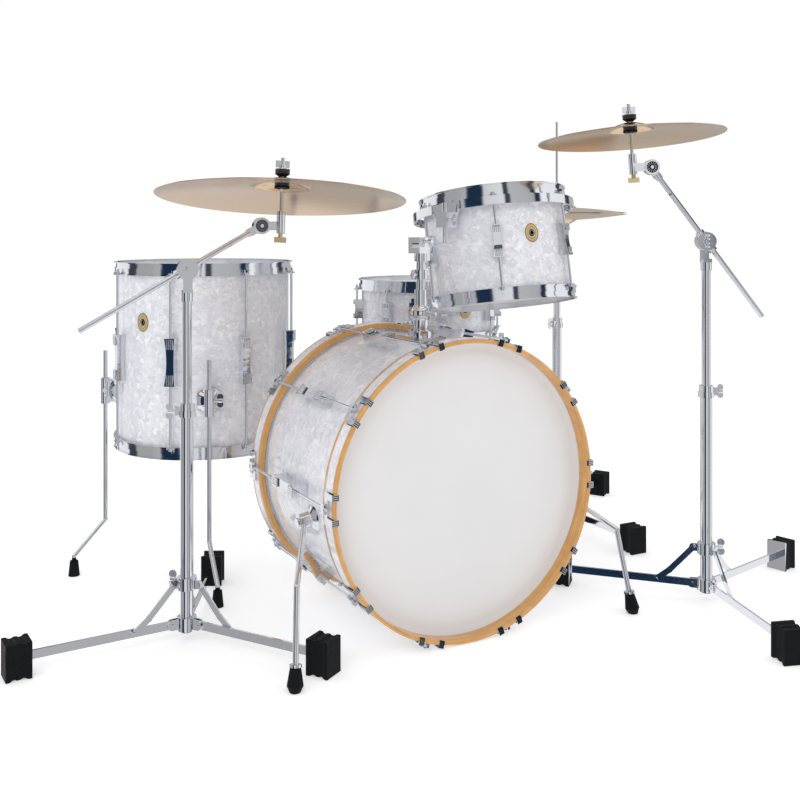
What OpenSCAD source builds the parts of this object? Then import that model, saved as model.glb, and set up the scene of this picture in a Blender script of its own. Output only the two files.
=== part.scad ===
// Four-piece acoustic drum kit on flat-base stands, in millimetres.
// X runs towards the hi-hat side, Y from the audience towards the player, Z up.
// The origin is on the floor, under the middle of the whole kit.

/* [Bass drum] */
// Outer diameter of the bass drum shell
bass_d = 559; // [556:1:561]
// Length of the bass drum shell along its axis
bass_depth = 356; // [352:1:360]
// Depth of each wooden bass drum hoop
bass_hoop_w = 46; // [44:1:48]

/* [Floor tom] */
// Outer diameter of the floor tom shell
floor_d = 406.4; // [402:0.1:410]
// Depth of the floor tom shell
floor_depth = 406.4; // [390:0.1:410]
// Height of the middle of the floor tom shell above the floor
floor_tom_z = 513; // [508:1:525]

/* [Rack tom] */
// Outer diameter of the rack tom shell
tom_d = 330.2; // [327:0.1:332]
// Depth of the rack tom shell
tom_depth = 228.6; // [222:0.1:232]
// Lean of the rack tom towards the player, in degrees
tom_lean = 9.6; // [8:0.1:13]

/* [Snare drum] */
// Outer diameter of the snare drum shell
snare_d = 355.6; // [352:0.1:357]
// Depth of the snare drum shell
snare_depth = 127; // [120:0.1:134]
// Height of the middle of the snare drum shell above the floor
snare_z = 598; // [594:1:602]

/* [Cymbals] */
// Diameter of the ride cymbal
ride_d = 508; // [480:1:512]
// Diameter of the crash cymbal
crash_d = 406; // [380:1:408]
// Diameter of the two hi-hat cymbals
hihat_d = 381; // [356:1:384]

/* [Stands] */
// Reach of a tripod leg, from the stand's axis to the middle of its foot
leg_reach = 320; // [315:1:325]
// Length of a boom arm
boom_len = 405; // [402:1:408]

/* [Hidden] */

$fn = 64;
gap = 0.25;                                          // clearance between pieces that meet
run = 0.06;                                          // radial running clearance of a rod in a bore

// Plan of the kit: first with the bass drum's front hoop at y = 0, then centred
kit_centre = [74, 321];
bass_at = -kit_centre;
floor_tom_at = [-310, 721] - kit_centre;
snare_at = [294, 679] - kit_centre;
tom_at = [274, 319, 759.6] - [kit_centre.x, kit_centre.y, 0];
ride_stand_at = [-484, 283] - kit_centre;
crash_stand_at = [578, -46] - kit_centre;
hihat_at = [665, 603] - kit_centre;

// Shells, heads and hoops
bass_r = bass_d / 2;
bass_wall = 7;
bass_lap = 12;                                       // how far a wooden hoop laps over the shell
bass_hoop_out = bass_r + 17.5;
bass_length = bass_depth + 2 * (bass_hoop_w - bass_lap);
bass_rod_r = bass_hoop_out + 6.5;                    // radius of the circle of tension rods
bass_top = bass_hoop_out + bass_r;
shell_wall = 6;
film = 0.8;
hoop_t = 2.2;                                        // pressed steel hoops
hoop_rise = 16;                                      // steel hoop above its head
rod_out = 14.5;                                      // tension rods from the face of the shell
rod_r = 3;
lug_w = 24;

// [number of lugs, angle of the first, length of a lug]
bass_lug = [10, 108, 108];
floor_lug = [8, 232.5, 106];
tom_lug = [6, 237, 72];
snare_lug = [8, 207, 48];

// Stands
lower_tube_r = 12.7;
upper_tube_r = 9.5;
leg_z = 34;                                          // height of the leg pivots
hub_r = 30;                                          // radius of the leg pivots
brace_at = 107;                                      // radius of a strut's pivot on its leg
collar_z = 112;
collar_r = 28;
leg_t = 5;
leg_h = 16;
foot = [46, 46, 66];
boom_r = 5.5;
ride_legs = [183, 303, 63];
crash_legs = [-107.6, 12.4, 132.4];
hihat_legs = [-91, 29, 149];
snare_legs = [95, 215, 335];

// Booms: [plan direction of the arm, its rise, height of its pivot, its length past the pivot]
ride_boom = [-11, 30, 731, 170];
crash_boom = [149.2, 53.7, 783, 201];
ride_lean = [-6.2, 3.2, 0];
crash_lean = [3.1, 3.5, 0];

module at(p) translate([p.x, p.y, len(p) > 2 ? p.z : 0]) children();

module around(count, first = 0) for (i = [0 : count - 1]) rotate(first + 360 * i / count) children();

module both_ends() {
    children();
    mirror([0, 0, 1]) children();
}

module ring(inner, outer, h) difference() {
    cylinder(r = outer, h = h);
    translate([0, 0, -1]) cylinder(r = inner, h = h + 2);
}

// A round rod from p to q
module rod(p, q, r) {
    v = q - p;
    translate(p) rotate([0, acos(v.z / norm(v)), atan2(v.y, v.x)]) cylinder(r = r, h = norm(v));
}

// Round rods through a list of points, with a ball at each bend
module bent_rod(points, r) {
    for (i = [0 : len(points) - 2]) rod(points[i], points[i + 1], r);
    for (i = [1 : len(points) - 2]) translate(points[i]) sphere(r = r + 0.3);
}

// A wing screw along +X: shank, hub and two round wings
module wing_screw(shank, wing = 11) {
    rotate([0, 90, 0]) cylinder(r = 3.2, h = shank + 1);
    translate([shank, 0, 0]) rotate([0, 90, 0]) cylinder(r = 5, h = 9);
    for (s = [-1, 1]) translate([shank + 5, 1.5, s * wing * 0.75]) rotate([90, 0, 0])
        cylinder(r = wing * 0.62, h = 3);
}

// ---------- Drums, each drawn with its axis along Z and its middle at the origin ----------

module drum_shell(r, depth, wall, vent) difference() {
    rotate_extrude($fn = 128) polygon([
        [r - wall, wall * 0.6 - depth / 2], [r - wall * 0.4, -depth / 2], [r, wall * 0.3 - depth / 2],
        [r, depth / 2 - wall * 0.3], [r - wall * 0.4, depth / 2], [r - wall, depth / 2 - wall * 0.6]]);
    rotate(vent.x) translate([r - 2 * wall, 0, vent.y]) rotate([0, 90, 0]) cylinder(r = 5, h = 3 * wall);
}

// Film and flesh hoop on the bearing edge at height z
module drum_heads(r, depth) both_ends() let (z = depth / 2) rotate_extrude($fn = 128) polygon([
    [0, z], [0, z + film], [r + 5, z + film], [r + 5, z - 8], [r + 0.3, z - 8], [r + 0.3, z]]);

// Triple-flanged steel hoop with an ear for each tension rod
module steel_hoop(r, z, lug) {
    a = r + 2.4;
    b = r + 5.3;
    ear_t = hoop_t + 0.45;
    difference() {
        union() {
            rotate_extrude($fn = 128) polygon([
                [a, z + 1], [a, z + hoop_rise], [a + 6.5, z + hoop_rise],
                [a + 6.5, z + hoop_rise - hoop_t], [a + hoop_t, z + hoop_rise - hoop_t],
                [a + hoop_t, z + 1 + hoop_t], [b + hoop_t, z + 1 + hoop_t], [b + hoop_t, z - 10],
                [b + hoop_t + 3, z - 10], [b + hoop_t + 3, z - 10 - hoop_t],
                [b, z - 10 - hoop_t], [b, z + 1]]);
            around(lug[0], lug[1]) translate([0, 0, z - 10 - hoop_t - 0.3]) {
                translate([b + 1, -8, 0]) cube([rod_out - 6.3, 16, ear_t]);
                translate([r + rod_out, 0, 0]) cylinder(r = 9, h = ear_t);
            }
        }
        around(lug[0], lug[1]) translate([r + rod_out, 0, z - 20]) cylinder(r = rod_r + 0.5, h = 20);
    }
}

module drum_hoops(r, depth, lug) both_ends() steel_hoop(r, depth / 2, lug);

function waisted(len, out, waist, n = 8) = [for (i = [0 : n])
    let (t = 2 * i / n - 1) [t * len / 2, out - waist * (1 - t * t)]];

// Bow-tie lug, waisted across and outwards, with a blind hole at each end for a tension rod
module bow_tie_lug(r, len, depth, rod_at) {
    side = waisted(len, lug_w / 2, 3.5);
    top = waisted(len, depth, 5);
    difference() {
        intersection() {
            rotate([0, -90, 0]) translate([0, 0, -r - depth - 1]) linear_extrude(depth + 5)
                polygon(concat(side, [for (i = [len(side) - 1 : -1 : 0]) [side[i].x, -side[i].y]]));
            rotate([90, 0, 0]) translate([0, 0, -lug_w]) linear_extrude(2 * lug_w)
                polygon(concat([[r - 4, -len / 2]], [for (p = top) [r + p.y, p.x]], [[r - 4, len / 2]]));
        }
        cylinder(r = r + 0.15, h = len + 10, center = true, $fn = 128);
        both_ends() translate([r + rod_at, 0, len / 2 - 22]) cylinder(r = rod_r + 0.1, h = 30);
    }
}

module drum_lugs(r, lug) around(lug[0], lug[1]) bow_tie_lug(r, lug[2], 23, rod_out);

// Tension rod from z0 up to the ear at z, with its washer, collar and head
module tension_rod(z, z0, tee = false) {
    translate([0, 0, z0]) cylinder(r = rod_r, h = z - z0 + 1);
    translate([0, 0, z + gap]) cylinder(r = 6.4, h = 1.6);
    translate([0, 0, z + gap + 1]) cylinder(r = 4.6, h = 3.6);
    if (tee) translate([0, 14, z + gap + 7]) rotate([90, 0, 0]) cylinder(r = 3, h = 28);
    else translate([-2.7, -2.7, z + gap + 4]) cube([5.4, 5.4, 6.6]);
}

module drum_rods(r, depth, lug) both_ends() around(lug[0], lug[1])
    translate([r + rod_out, 0, 0]) tension_rod(depth / 2 - 10, lug[2] / 2 - 21);

// ---------- Bass drum ----------

module bass_frame() at(bass_at)
    translate([0, bass_length / 2, bass_hoop_out]) rotate([90, 0, 0]) children();

hoop_face = bass_depth / 2 - bass_lap + bass_hoop_w;

module bass_shell() color("gainsboro") bass_frame() drum_shell(bass_r, bass_depth, bass_wall, [54, 0]);
module bass_heads() color("whitesmoke") bass_frame() drum_heads(bass_r, bass_depth);
module bass_lugs() color("silver") bass_frame() around(bass_lug[0], bass_lug[1])
    bow_tie_lug(bass_r, bass_lug[2], bass_rod_r - bass_r + 8, bass_rod_r - bass_r);

module bass_hoops() color("burlywood") bass_frame() both_ends() {
    edge = bass_depth / 2;
    inner = bass_hoop_out - 15;
    rotate_extrude($fn = 128) polygon([
        [bass_r + 5.5, edge - bass_lap], [bass_hoop_out - 1.5, edge - bass_lap],
        [bass_hoop_out, edge - bass_lap + 1.5], [bass_hoop_out, hoop_face - 1.5],
        [bass_hoop_out - 1.5, hoop_face], [inner + 1.5, hoop_face], [inner, hoop_face - 1.5],
        [inner, edge + 1.2], [bass_r + 5.5, edge + 1.2]]);
}

// Claw: a bridge across the hoop, an ear for the rod, and two hooks over the hoop's face
module claw() difference() {
    union() {
        translate([bass_hoop_out - 2, -30, hoop_face - 30]) cube([5.5, 60, 12]);
        translate([bass_hoop_out - 2, -10, hoop_face - 30]) cube([13, 20, 12]);
        for (y = [-29, 17]) {
            translate([bass_hoop_out - 2, y, hoop_face - 30]) cube([5.5, 12, 33]);
            translate([bass_hoop_out - 9, y, hoop_face + gap]) cube([10, 12, 3 - gap]);
        }
    }
    translate([0, 0, hoop_face - 60]) cylinder(r = bass_hoop_out + gap, h = 60 + gap, $fn = 128);
    translate([bass_rod_r, 0, hoop_face - 40]) cylinder(r = rod_r + 0.5, h = 60);
}

module bass_claws() color("silver") bass_frame() both_ends() around(bass_lug[0], bass_lug[1]) claw();

module bass_rods() for (back = [0, 1]) mirror([0, 0, back]) around(bass_lug[0], bass_lug[1])
    translate([bass_rod_r, 0, 0]) tension_rod(hoop_face - 18, bass_lug[2] / 2 - 21, back == 1);

// Folding spurs: each turns on a boss that points out of the side of the drum
spur_angle = 100;                                    // from the top of the drum
spur_y = 138;
spur_bend = [-367, 2, 170];
spur_tip = [-384, -31, 0];
spur_r = 5.5;

module spur_frame(side) at(bass_at) translate([0, spur_y, bass_hoop_out])
    rotate([0, side * spur_angle, 0]) children();

module spur_boss(side) spur_frame(side) difference() {
    union() {
        intersection() {
            translate([0, 0, bass_r - 22]) sphere(r = 34);
            translate([-24, -26, bass_r - 4]) cube([48, 52, 30]);
        }
        cylinder(r = 15, h = bass_r + 13);
        cylinder(r = 5, h = bass_r + 36);
        translate([0, 0, bass_r + 31.5]) cylinder(r = 9, h = 4.5);
    }
    rotate([90, 0, 0]) cylinder(r = bass_r + 0.15, h = 200, center = true, $fn = 128);
}

module spur(side) {
    eye = [-sin(spur_angle), 0, cos(spur_angle)] * (bass_r + 19.2) + [0, spur_y, bass_hoop_out];
    up = (spur_bend - spur_tip) / norm(spur_bend - spur_tip);
    lean = [0, acos(up.z), atan2(up.y, up.x)];
    at(bass_at) mirror([side > 0 ? 1 : 0, 0, 0]) at(-bass_at) {
        difference() {
            union() {
                spur_frame(-1) translate([0, 0, bass_r + 13 + gap]) cylinder(r = 15, h = 17);
                at(bass_at) bent_rod([eye, spur_bend, spur_tip + up * 30], spur_r);
            }
            spur_frame(-1) translate([0, 0, bass_r]) cylinder(r = 5 + run, h = 40);
        }
        at(bass_at) translate(spur_tip + up * 40.5) rotate(lean) cylinder(r = 11, h = 5);
        at(bass_at) difference() {
            translate([spur_tip.x, spur_tip.y, 0]) rotate(lean) rotate(70) translate([0, 0, -4]) {
                cylinder(r1 = 8, r2 = 15, h = 14);
                translate([0, 0, 14]) cylinder(r1 = 15, r2 = 10, h = 30);
            }
            translate([spur_tip.x, spur_tip.y, -40]) cylinder(r = 60, h = 40);
            rod(spur_tip + up * 29.8, spur_tip + up * 60, spur_r + 0.1);
        }
    }
}

module left_spur() color("silver") spur(-1);
module right_spur() color("silver") spur(1);

// ---------- Tom mount on the bass drum, and the rack tom ----------

post_at = [bass_at.x, bass_at.y + 200];
post_r = 9.5;
arm_z = 775;
arm_r = 5.5;
arm_dir = atan2(tom_at.y - post_at.y, tom_at.x - post_at.x);
lean_dir = 94;                                       // the tom leans towards the player's seat
ring_r = tom_d / 2 + 22;
ring_z = tom_depth / 2 - 34;
arm_reach = norm([tom_at.x - post_at.x, tom_at.y - post_at.y]) - ring_r - 24;

module tom_frame() translate(tom_at) rotate(lean_dir) rotate([0, tom_lean, 0]) rotate(-lean_dir) children();
module post_frame(z) at(post_at) translate([0, 0, z]) children();
module arm_line(z) post_frame(z) rotate(arm_dir) children();

module tom_mount_base() color("silver") difference() {
    union() {
        post_frame(bass_top - 14) translate([-32, -50, 0]) cube([64, 100, 20]);
        post_frame(bass_top - 8) cylinder(r = 27, h = 26);
        post_frame(bass_top + 54) sphere(r = 22);
        post_frame(bass_top + 10) cylinder(r = 17, h = 60);
        post_frame(bass_top + 64) cylinder(r = 14, h = 40);
        post_frame(bass_top + 54) rotate(-60) translate([20, 0, 0]) wing_screw(8);
    }
    at(bass_at) translate([0, bass_length, bass_hoop_out]) rotate([90, 0, 0])
        cylinder(r = bass_r + 0.15, h = bass_length, $fn = 128);
    post_frame(bass_top + 12) cylinder(r = post_r + run, h = 120);
}

// Upright tube with its memory collar, and the clamp that holds the arm
module tom_post() color("silver") {
    foot_z = bass_top + 36;
    difference() {
        union() {
            post_frame(foot_z) cylinder(r = post_r, h = arm_z - foot_z - 12);
            post_frame(arm_z - 72) cylinder(r = 16, h = 20);
            post_frame(arm_z - 62) rotate(200) translate([14, 0, 0]) wing_screw(6, 8);
            post_frame(arm_z - 34) cylinder(r = 14, h = 20);
            arm_line(arm_z) translate([-24, -15, -17]) cube([48, 30, 34]);
            arm_line(arm_z + 8) rotate(-90) translate([13, 0, 0]) wing_screw(8, 9);
        }
        arm_line(arm_z) translate([-60, 0, 0]) rotate([0, 90, 0]) cylinder(r = arm_r + run, h = 120);
    }
}

// L-shaped arm: one end in the post's clamp, the upright end in the tom's bracket
module tom_arm() color("silver") arm_line(arm_z)
    bent_rod([[-36, 0, 0], [arm_reach, 0, 0], [arm_reach, 0, 92]], arm_r);

module tom_shell() color("gainsboro") tom_frame() drum_shell(tom_d / 2, tom_depth, shell_wall, [265, 15]);
module tom_heads() color("whitesmoke") tom_frame() drum_heads(tom_d / 2, tom_depth);
module tom_hoops() color("silver") tom_frame() drum_hoops(tom_d / 2, tom_depth, tom_lug);
module tom_lugs() color("silver") tom_frame() drum_lugs(tom_d / 2, tom_lug);
module tom_rods() color("silver") tom_frame() drum_rods(tom_d / 2, tom_depth, tom_lug);

// Band round the tom, hung from its tension rods, with the plate and clamp that take the arm
module tom_suspension_ring() color("silver") difference() {
    union() {
        tom_frame() translate([0, 0, ring_z]) {
            ring(ring_r, ring_r + 3, 20);
            around(tom_lug[0], tom_lug[1]) translate([tom_d / 2 + 5, -9, 8])
                cube([ring_r - tom_d / 2 - 3, 18, 3]);
            rotate(arm_dir + 180) translate([ring_r, 0, 0]) rotate([90, 0, 90]) linear_extrude(5)
                polygon([[-36, 18], [36, 18], [36, 4], [15, -34], [-15, -34], [-36, 4]]);
        }
        arm_line(arm_z + 38) translate([arm_reach - 13, -14, 0]) cube([41, 28, 34]);
        arm_line(arm_z + 55) translate([arm_reach, 0, 0]) rotate(-90)
            translate([12, 0, 0]) wing_screw(8, 9);
    }
    arm_line(arm_z + 26) translate([arm_reach, 0, 0]) cylinder(r = arm_r + run, h = 60);
    tom_frame() around(tom_lug[0], tom_lug[1]) translate([tom_d / 2 + rod_out, 0, ring_z])
        cylinder(r = rod_r + 0.5, h = 20);
    tom_frame() cylinder(r = tom_d / 2 + 4, h = tom_depth, center = true, $fn = 128);
}

// ---------- Floor tom ----------

floor_leg_angles = [165, 255, 30];
floor_leg_turn = [23, 11, 0];                        // how far each crank is turned out of line
floor_bracket_z = 425;
floor_leg_out = 29;                                  // leg rod from the face of the shell
floor_leg_r = 5;

module floor_frame() at(floor_tom_at) translate([0, 0, floor_tom_z]) children();
module floor_tom_shell() color("gainsboro") floor_frame()
    drum_shell(floor_d / 2, floor_depth, shell_wall, [210, 85]);
module floor_tom_heads() color("whitesmoke") floor_frame() drum_heads(floor_d / 2, floor_depth);
module floor_tom_hoops() color("silver") floor_frame() drum_hoops(floor_d / 2, floor_depth, floor_lug);
module floor_tom_lugs() color("silver") floor_frame() drum_lugs(floor_d / 2, floor_lug);

module tension_rods() color("silver") {
    bass_frame() bass_rods();
    floor_frame() drum_rods(floor_d / 2, floor_depth, floor_lug);
}

// Bracket: a domed plate, an eye for the leg rod, and its wing screw
module leg_bracket(r, out, rod_r) difference() {
    union() {
        intersection() {
            translate([r - 14, 0, 0]) sphere(r = 36);
            translate([r - 2, -26, -33]) cube([40, 52, 66]);
        }
        translate([r + out, 0, -30]) cylinder(r = rod_r + 6, h = 60);
        translate([r - 2, -9, -26]) cube([out + 2, 18, 52]);
        translate([r + out, rod_r + 4, 4]) rotate(90) wing_screw(10);
    }
    cylinder(r = r + 0.15, h = 100, center = true, $fn = 128);
    translate([r + out, 0, -40]) cylinder(r = rod_r + run, h = 80);
}

module leg_brackets() color("silver") {
    at(floor_tom_at) for (a = floor_leg_angles) rotate(a) translate([0, 0, floor_bracket_z])
        leg_bracket(floor_d / 2, floor_leg_out, floor_leg_r);
    for (side = [-1, 1]) spur_boss(side);
}

// Floor tom leg: a rod cranked outwards near the floor, with its rubber tip
module floor_leg(i) color("silver") at(floor_tom_at) rotate(floor_leg_angles[i])
    translate([floor_d / 2 + floor_leg_out, 0, 0]) rotate(floor_leg_turn[i]) {
        bent_rod([[0, 0, 520], [0, 0, 118], [75, 0, 44], [75, 0, 14]], floor_leg_r);
        difference() {
            translate([75, 0, 0]) cylinder(r1 = 13, r2 = 9.5, h = 34);
            translate([75, 0, 13]) cylinder(r = floor_leg_r + 0.1, h = 30);
        }
    }

module floor_leg_1() floor_leg(0);
module floor_leg_2() floor_leg(1);
module floor_leg_3() floor_leg(2);

// ---------- Snare drum ----------

strainer_at = 229.5;                                 // angle of the throw-off; the butt is opposite
basket_z = 470;
basket_arms = [79.5, 199.5, 319.5];

module snare_frame() at(snare_at) translate([0, 0, snare_z]) children();
module snare_shell() color("gainsboro") snare_frame()
    drum_shell(snare_d / 2, snare_depth, shell_wall, [272, 6]);
module snare_heads() color("whitesmoke") snare_frame() drum_heads(snare_d / 2, snare_depth);
module snare_hoops() color("silver") snare_frame() drum_hoops(snare_d / 2, snare_depth, snare_lug);
module snare_lugs() color("silver") snare_frame() drum_lugs(snare_d / 2, snare_lug);
module snare_rods() color("silver") snare_frame() drum_rods(snare_d / 2, snare_depth, snare_lug);

// Throw-off on one side and butt plate on the other
module snare_strainer() color("silver") snare_frame() difference() {
    union() {
        rotate(strainer_at) translate([snare_d / 2 - 2, -13, -30]) cube([12, 26, 56]);
        rotate(strainer_at) for (y = [-13, 9]) translate([snare_d / 2 + 6, y, -14]) cube([16, 4, 22]);
        rotate(strainer_at + 180) translate([snare_d / 2 - 2, -14, -34]) cube([12, 28, 34]);
    }
    cylinder(r = snare_d / 2 + 0.15, h = 200, center = true, $fn = 128);
    rotate(strainer_at) translate([snare_d / 2 + 16, 20, -6]) rotate([90, 0, 0])
        cylinder(r = 2.5 + run, h = 40);
}

// Lever of the throw-off on its pin
module strainer_lever() color("silver")
    snare_frame() rotate(strainer_at) translate([snare_d / 2 + 16, 0, -6]) {
    translate([0, 13, 0]) rotate([90, 0, 0]) cylinder(r = 2.5, h = 26);
    translate([0, 8, 0]) rotate([90, 0, 0]) cylinder(r = 5.5, h = 16);
    translate([-3, -6, 0]) cube([6, 12, 44]);
}

module snare_wires() color("gainsboro") snare_frame() rotate(strainer_at)
    translate([0, 0, -snare_depth / 2 - film - gap]) {
        for (x = [-158, 142]) translate([x, -22, -1.4]) cube([16, 44, 1.4]);
        for (i = [-6 : 6]) translate([-143, i * 3.2, -0.8]) rotate([0, 90, 0]) cylinder(r = 0.8, h = 286);
    }

// Post of the basket, with the tongue of its tilting joint
module snare_post() color("silver") at(snare_at) {
    translate([0, 0, 180]) cylinder(r = upper_tube_r, h = basket_z - 180 - 20);
    difference() {
        union() {
            translate([-12, -10, basket_z - 30]) cube([24, 20, 16]);
            translate([-12, -6, basket_z - 15]) cube([24, 12, 27]);
        }
        translate([-30, 0, basket_z]) rotate([0, 90, 0]) cylinder(r = 3 + run, h = 60);
    }
}

// Yoke on a pin, and three arms whose padded ends hold the bottom hoop
module snare_basket() color("silver") at(snare_at) translate([0, 0, basket_z]) {
    hoop_out = snare_d / 2 + 12;
    low = snare_z - basket_z - snare_depth / 2 - hoop_rise;
    translate([-20, 0, 0]) rotate([0, 90, 0]) cylinder(r = 3, h = 40);
    difference() {
        translate([-19, -11, -8]) cube([38, 22, 34]);
        translate([-13, -20, -20]) cube([26, 40, 34]);
    }
    for (a = basket_arms) rotate(a) {
        rod([8, 0, 20], [hoop_out + 4, 0, low - 8], 4.5);
        translate([hoop_out - 12, -10, low - 14]) cube([26, 20, 14 - gap]);
        translate([hoop_out + 1, -9, low - 12]) cube([12, 18, 28]);
    }
}

// ---------- Stands ----------

module height_clamp(z, turn) translate([0, 0, z]) rotate(turn) {
    cylinder(r = 17, h = 12);
    translate([0, 0, 11]) cylinder(r = 15, h = 15);
    translate([10, -7, 4]) cube([14, 14, 16]);
    translate([23, 0, 12]) wing_screw(6);
}

// Lower tube with its height clamp, and the hub that the legs turn on
module stand_base(top, legs, turn) difference() {
    union() {
        translate([0, 0, 16]) cylinder(r = lower_tube_r, h = top - 16);
        height_clamp(top - 20, turn);
        translate([0, 0, leg_z - 14]) cylinder(r = 19, h = 26);
        for (a = legs) rotate(a)
            for (y = [-leg_t / 2 - gap - 3, leg_t / 2 + gap]) translate([0, y, leg_z]) {
            translate([10, 0, -10]) cube([hub_r - 10, 3, 20]);
            translate([hub_r, 3, 0]) rotate([90, 0, 0]) cylinder(r = 10, h = 3);
        }
    }
    translate([0, 0, -10]) cylinder(r = upper_tube_r + run, h = top + 60);
    for (a = legs) rotate(a) translate([hub_r, 20, leg_z]) rotate([90, 0, 0]) cylinder(r = 3 + run, h = 40);
}

// Flat leg bar with its pivot pin
module leg_bar() translate([hub_r, leg_t / 2, leg_z]) {
    rotate([90, 0, 0]) cylinder(r = leg_h / 2, h = leg_t);
    translate([0, -leg_t, -leg_h / 2]) cube([leg_reach - hub_r - 11, leg_t, leg_h]);
    translate([0, 5, 0]) rotate([90, 0, 0]) cylinder(r = 3, h = leg_t + 10);
}

// Rubber foot: waisted, scalloped above and below, with a slot for the bar
module leg_foot() difference() {
    translate([leg_reach - foot.x / 2, -foot.y / 2, 0]) cube(foot);
    for (z = [-5.5, foot.z + 5.5], x = [-9, 9]) translate([leg_reach + x, 50, z])
        rotate([90, 0, 0]) cylinder(r = 8, h = 100);
    translate([leg_reach - foot.x, -leg_t / 2 - gap, leg_z - leg_h / 2 - gap])
        cube([foot.x / 2 + 13, leg_t + 2 * gap, leg_h + 2 * gap]);
    for (s = [-1, 1]) translate([leg_reach, s * (foot.y / 2 + 36), -5]) cylinder(r = 40, h = foot.z + 10);
}

strut_y = leg_t / 2 + gap;
strut_t = 3.5;
strut_bend = [collar_r + 50, collar_z - 55];

module strut_piece(p, q) translate([p.x, strut_y + strut_t, p.y]) rotate([90, 0, 0])
    rotate(atan2(q.y - p.y, q.x - p.x)) {
        translate([0, -6, 0]) cube([norm(q - p), 12, strut_t]);
    }

// Bent strut beside its leg, with a bolt head at each end
module strut() {
    strut_piece([collar_r, collar_z], strut_bend);
    strut_piece(strut_bend, [brace_at, leg_z]);
    for (p = [[collar_r, collar_z], strut_bend, [brace_at, leg_z]])
        translate([p.x, strut_y + strut_t, p.y]) rotate([90, 0, 0]) cylinder(r = 6.6, h = strut_t);
    for (p = [[collar_r, collar_z], [brace_at, leg_z]]) translate([p.x, strut_y + strut_t + 2.5, p.y])
        rotate([90, 0, 0]) cylinder(r = 4, h = 3);
}

// Collar that slides on the lower tube, with an ear beside each strut
module collar(legs, turn) translate([0, 0, collar_z]) difference() {
    union() {
        translate([0, 0, -12]) cylinder(r = 19, h = 24);
        for (a = legs) rotate(a) {
            translate([10, -leg_t / 2, -8]) cube([collar_r - 10, leg_t, 16]);
            translate([collar_r, leg_t / 2, 0]) rotate([90, 0, 0]) cylinder(r = 8, h = leg_t);
        }
        rotate(turn) translate([16, 0, 4]) wing_screw(10, 13);
    }
    translate([0, 0, -30]) cylinder(r = lower_tube_r + run, h = 60);
}

module stand_bases() color("silver") {
    at(ride_stand_at) stand_base(460, ride_legs, 170);
    at(crash_stand_at) stand_base(462, crash_legs, -15);
    at(snare_at) stand_base(300, snare_legs, 30);
    at(hihat_at) {
        stand_base(555, hihat_legs, 200);
        hihat_frame();
    }
}

// The three tripods that stay open: ride, hi-hat and snare
module each_open_leg() {
    at(ride_stand_at) for (a = ride_legs) rotate(a) children();
    at(hihat_at) for (a = hihat_legs) rotate(a) children();
    at(snare_at) for (a = snare_legs) rotate(a) children();
}

module tripod_legs() color("silver") {
    each_open_leg() {
        leg_bar();
        strut();
    }
    at(ride_stand_at) collar(ride_legs, 135);
    at(hihat_at) collar(hihat_legs, 210);
    at(snare_at) collar(snare_legs, 35);
}

module tripod_feet() color("dimgray") each_open_leg() leg_foot();

module crash_leg(i) color("silver") at(crash_stand_at) rotate(crash_legs[i]) {
    leg_bar();
    leg_foot();
}

module crash_strut(i) color("silver") at(crash_stand_at) rotate(crash_legs[i]) strut();

module crash_leg_1() crash_leg(0);
module crash_leg_2() crash_leg(1);
module crash_leg_3() crash_leg(2);
module crash_strut_1() crash_strut(0);
module crash_strut_2() crash_strut(1);
module crash_strut_3() crash_strut(2);
module crash_collar() color("silver") at(crash_stand_at) collar(crash_legs, -35);

// Boom frames have X along the arm's plan direction and their origin at the arm's pivot
tilter_r = 20;
tilter_w = 10;                                       // half the width of the tilter's hub
knuckle_r = 17;
tip_out = 40;                                        // cymbal post from the end of the arm
tip_up = 98;                                         // cymbal above the end of the arm

module boom_frame(p, boom) at(p) translate([0, 0, boom[2]]) rotate(boom[0]) children();
module arm_frame(p, boom) boom_frame(p, boom) rotate([0, -boom[1], 0]) children();
module tip_frame(p, boom) arm_frame(p, boom) translate([boom[3], 0, 0]) rotate([0, boom[1], 0]) children();
module cymbal_frame(p, boom, lean) tip_frame(p, boom) translate([tip_out, 0, 0]) rotate(lean)
    translate([0, 0, tip_up]) children();

module upper_tube(p, boom) color("silver") boom_frame(p, boom) {
    translate([0, 0, 250 - boom[2]]) cylinder(r = upper_tube_r, h = boom[2] - 250 - 40);
    translate([0, 0, -64]) cylinder(r = 12, h = 22);
    difference() {
        union() {
            translate([-9, -tilter_w - gap - 10, -46]) cube([18, 34, 8]);
            translate([-9, -tilter_w - gap - 10, -46]) cube([18, 10, 46]);
            translate([0, -tilter_w - gap, 0]) rotate([90, 0, 0]) cylinder(r = tilter_r + 1, h = 10);
        }
        translate([0, 5, 0]) rotate([90, 0, 0]) cylinder(r = 4 + run, h = 60);
    }
}

// Hub that turns on the tube's bracket and clamps the arm
module boom_tilter(p, boom) color("silver") difference() {
    union() {
        boom_frame(p, boom) translate([0, tilter_w, 0]) rotate([90, 0, 0])
            cylinder(r = tilter_r, h = 2 * tilter_w);
        boom_frame(p, boom) translate([0, 1 - tilter_w, 0]) rotate([90, 0, 0]) cylinder(r = 4, h = 20);
        boom_frame(p, boom) translate([0, tilter_w - 1, 0]) rotate(90) wing_screw(6);
        arm_frame(p, boom) translate([-26, 0, 0]) rotate([0, 90, 0]) cylinder(r = 9.5, h = 52);
    }
    arm_frame(p, boom) translate([-60, 0, 0]) rotate([0, 90, 0]) cylinder(r = boom_r + run, h = 120);
}

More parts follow.
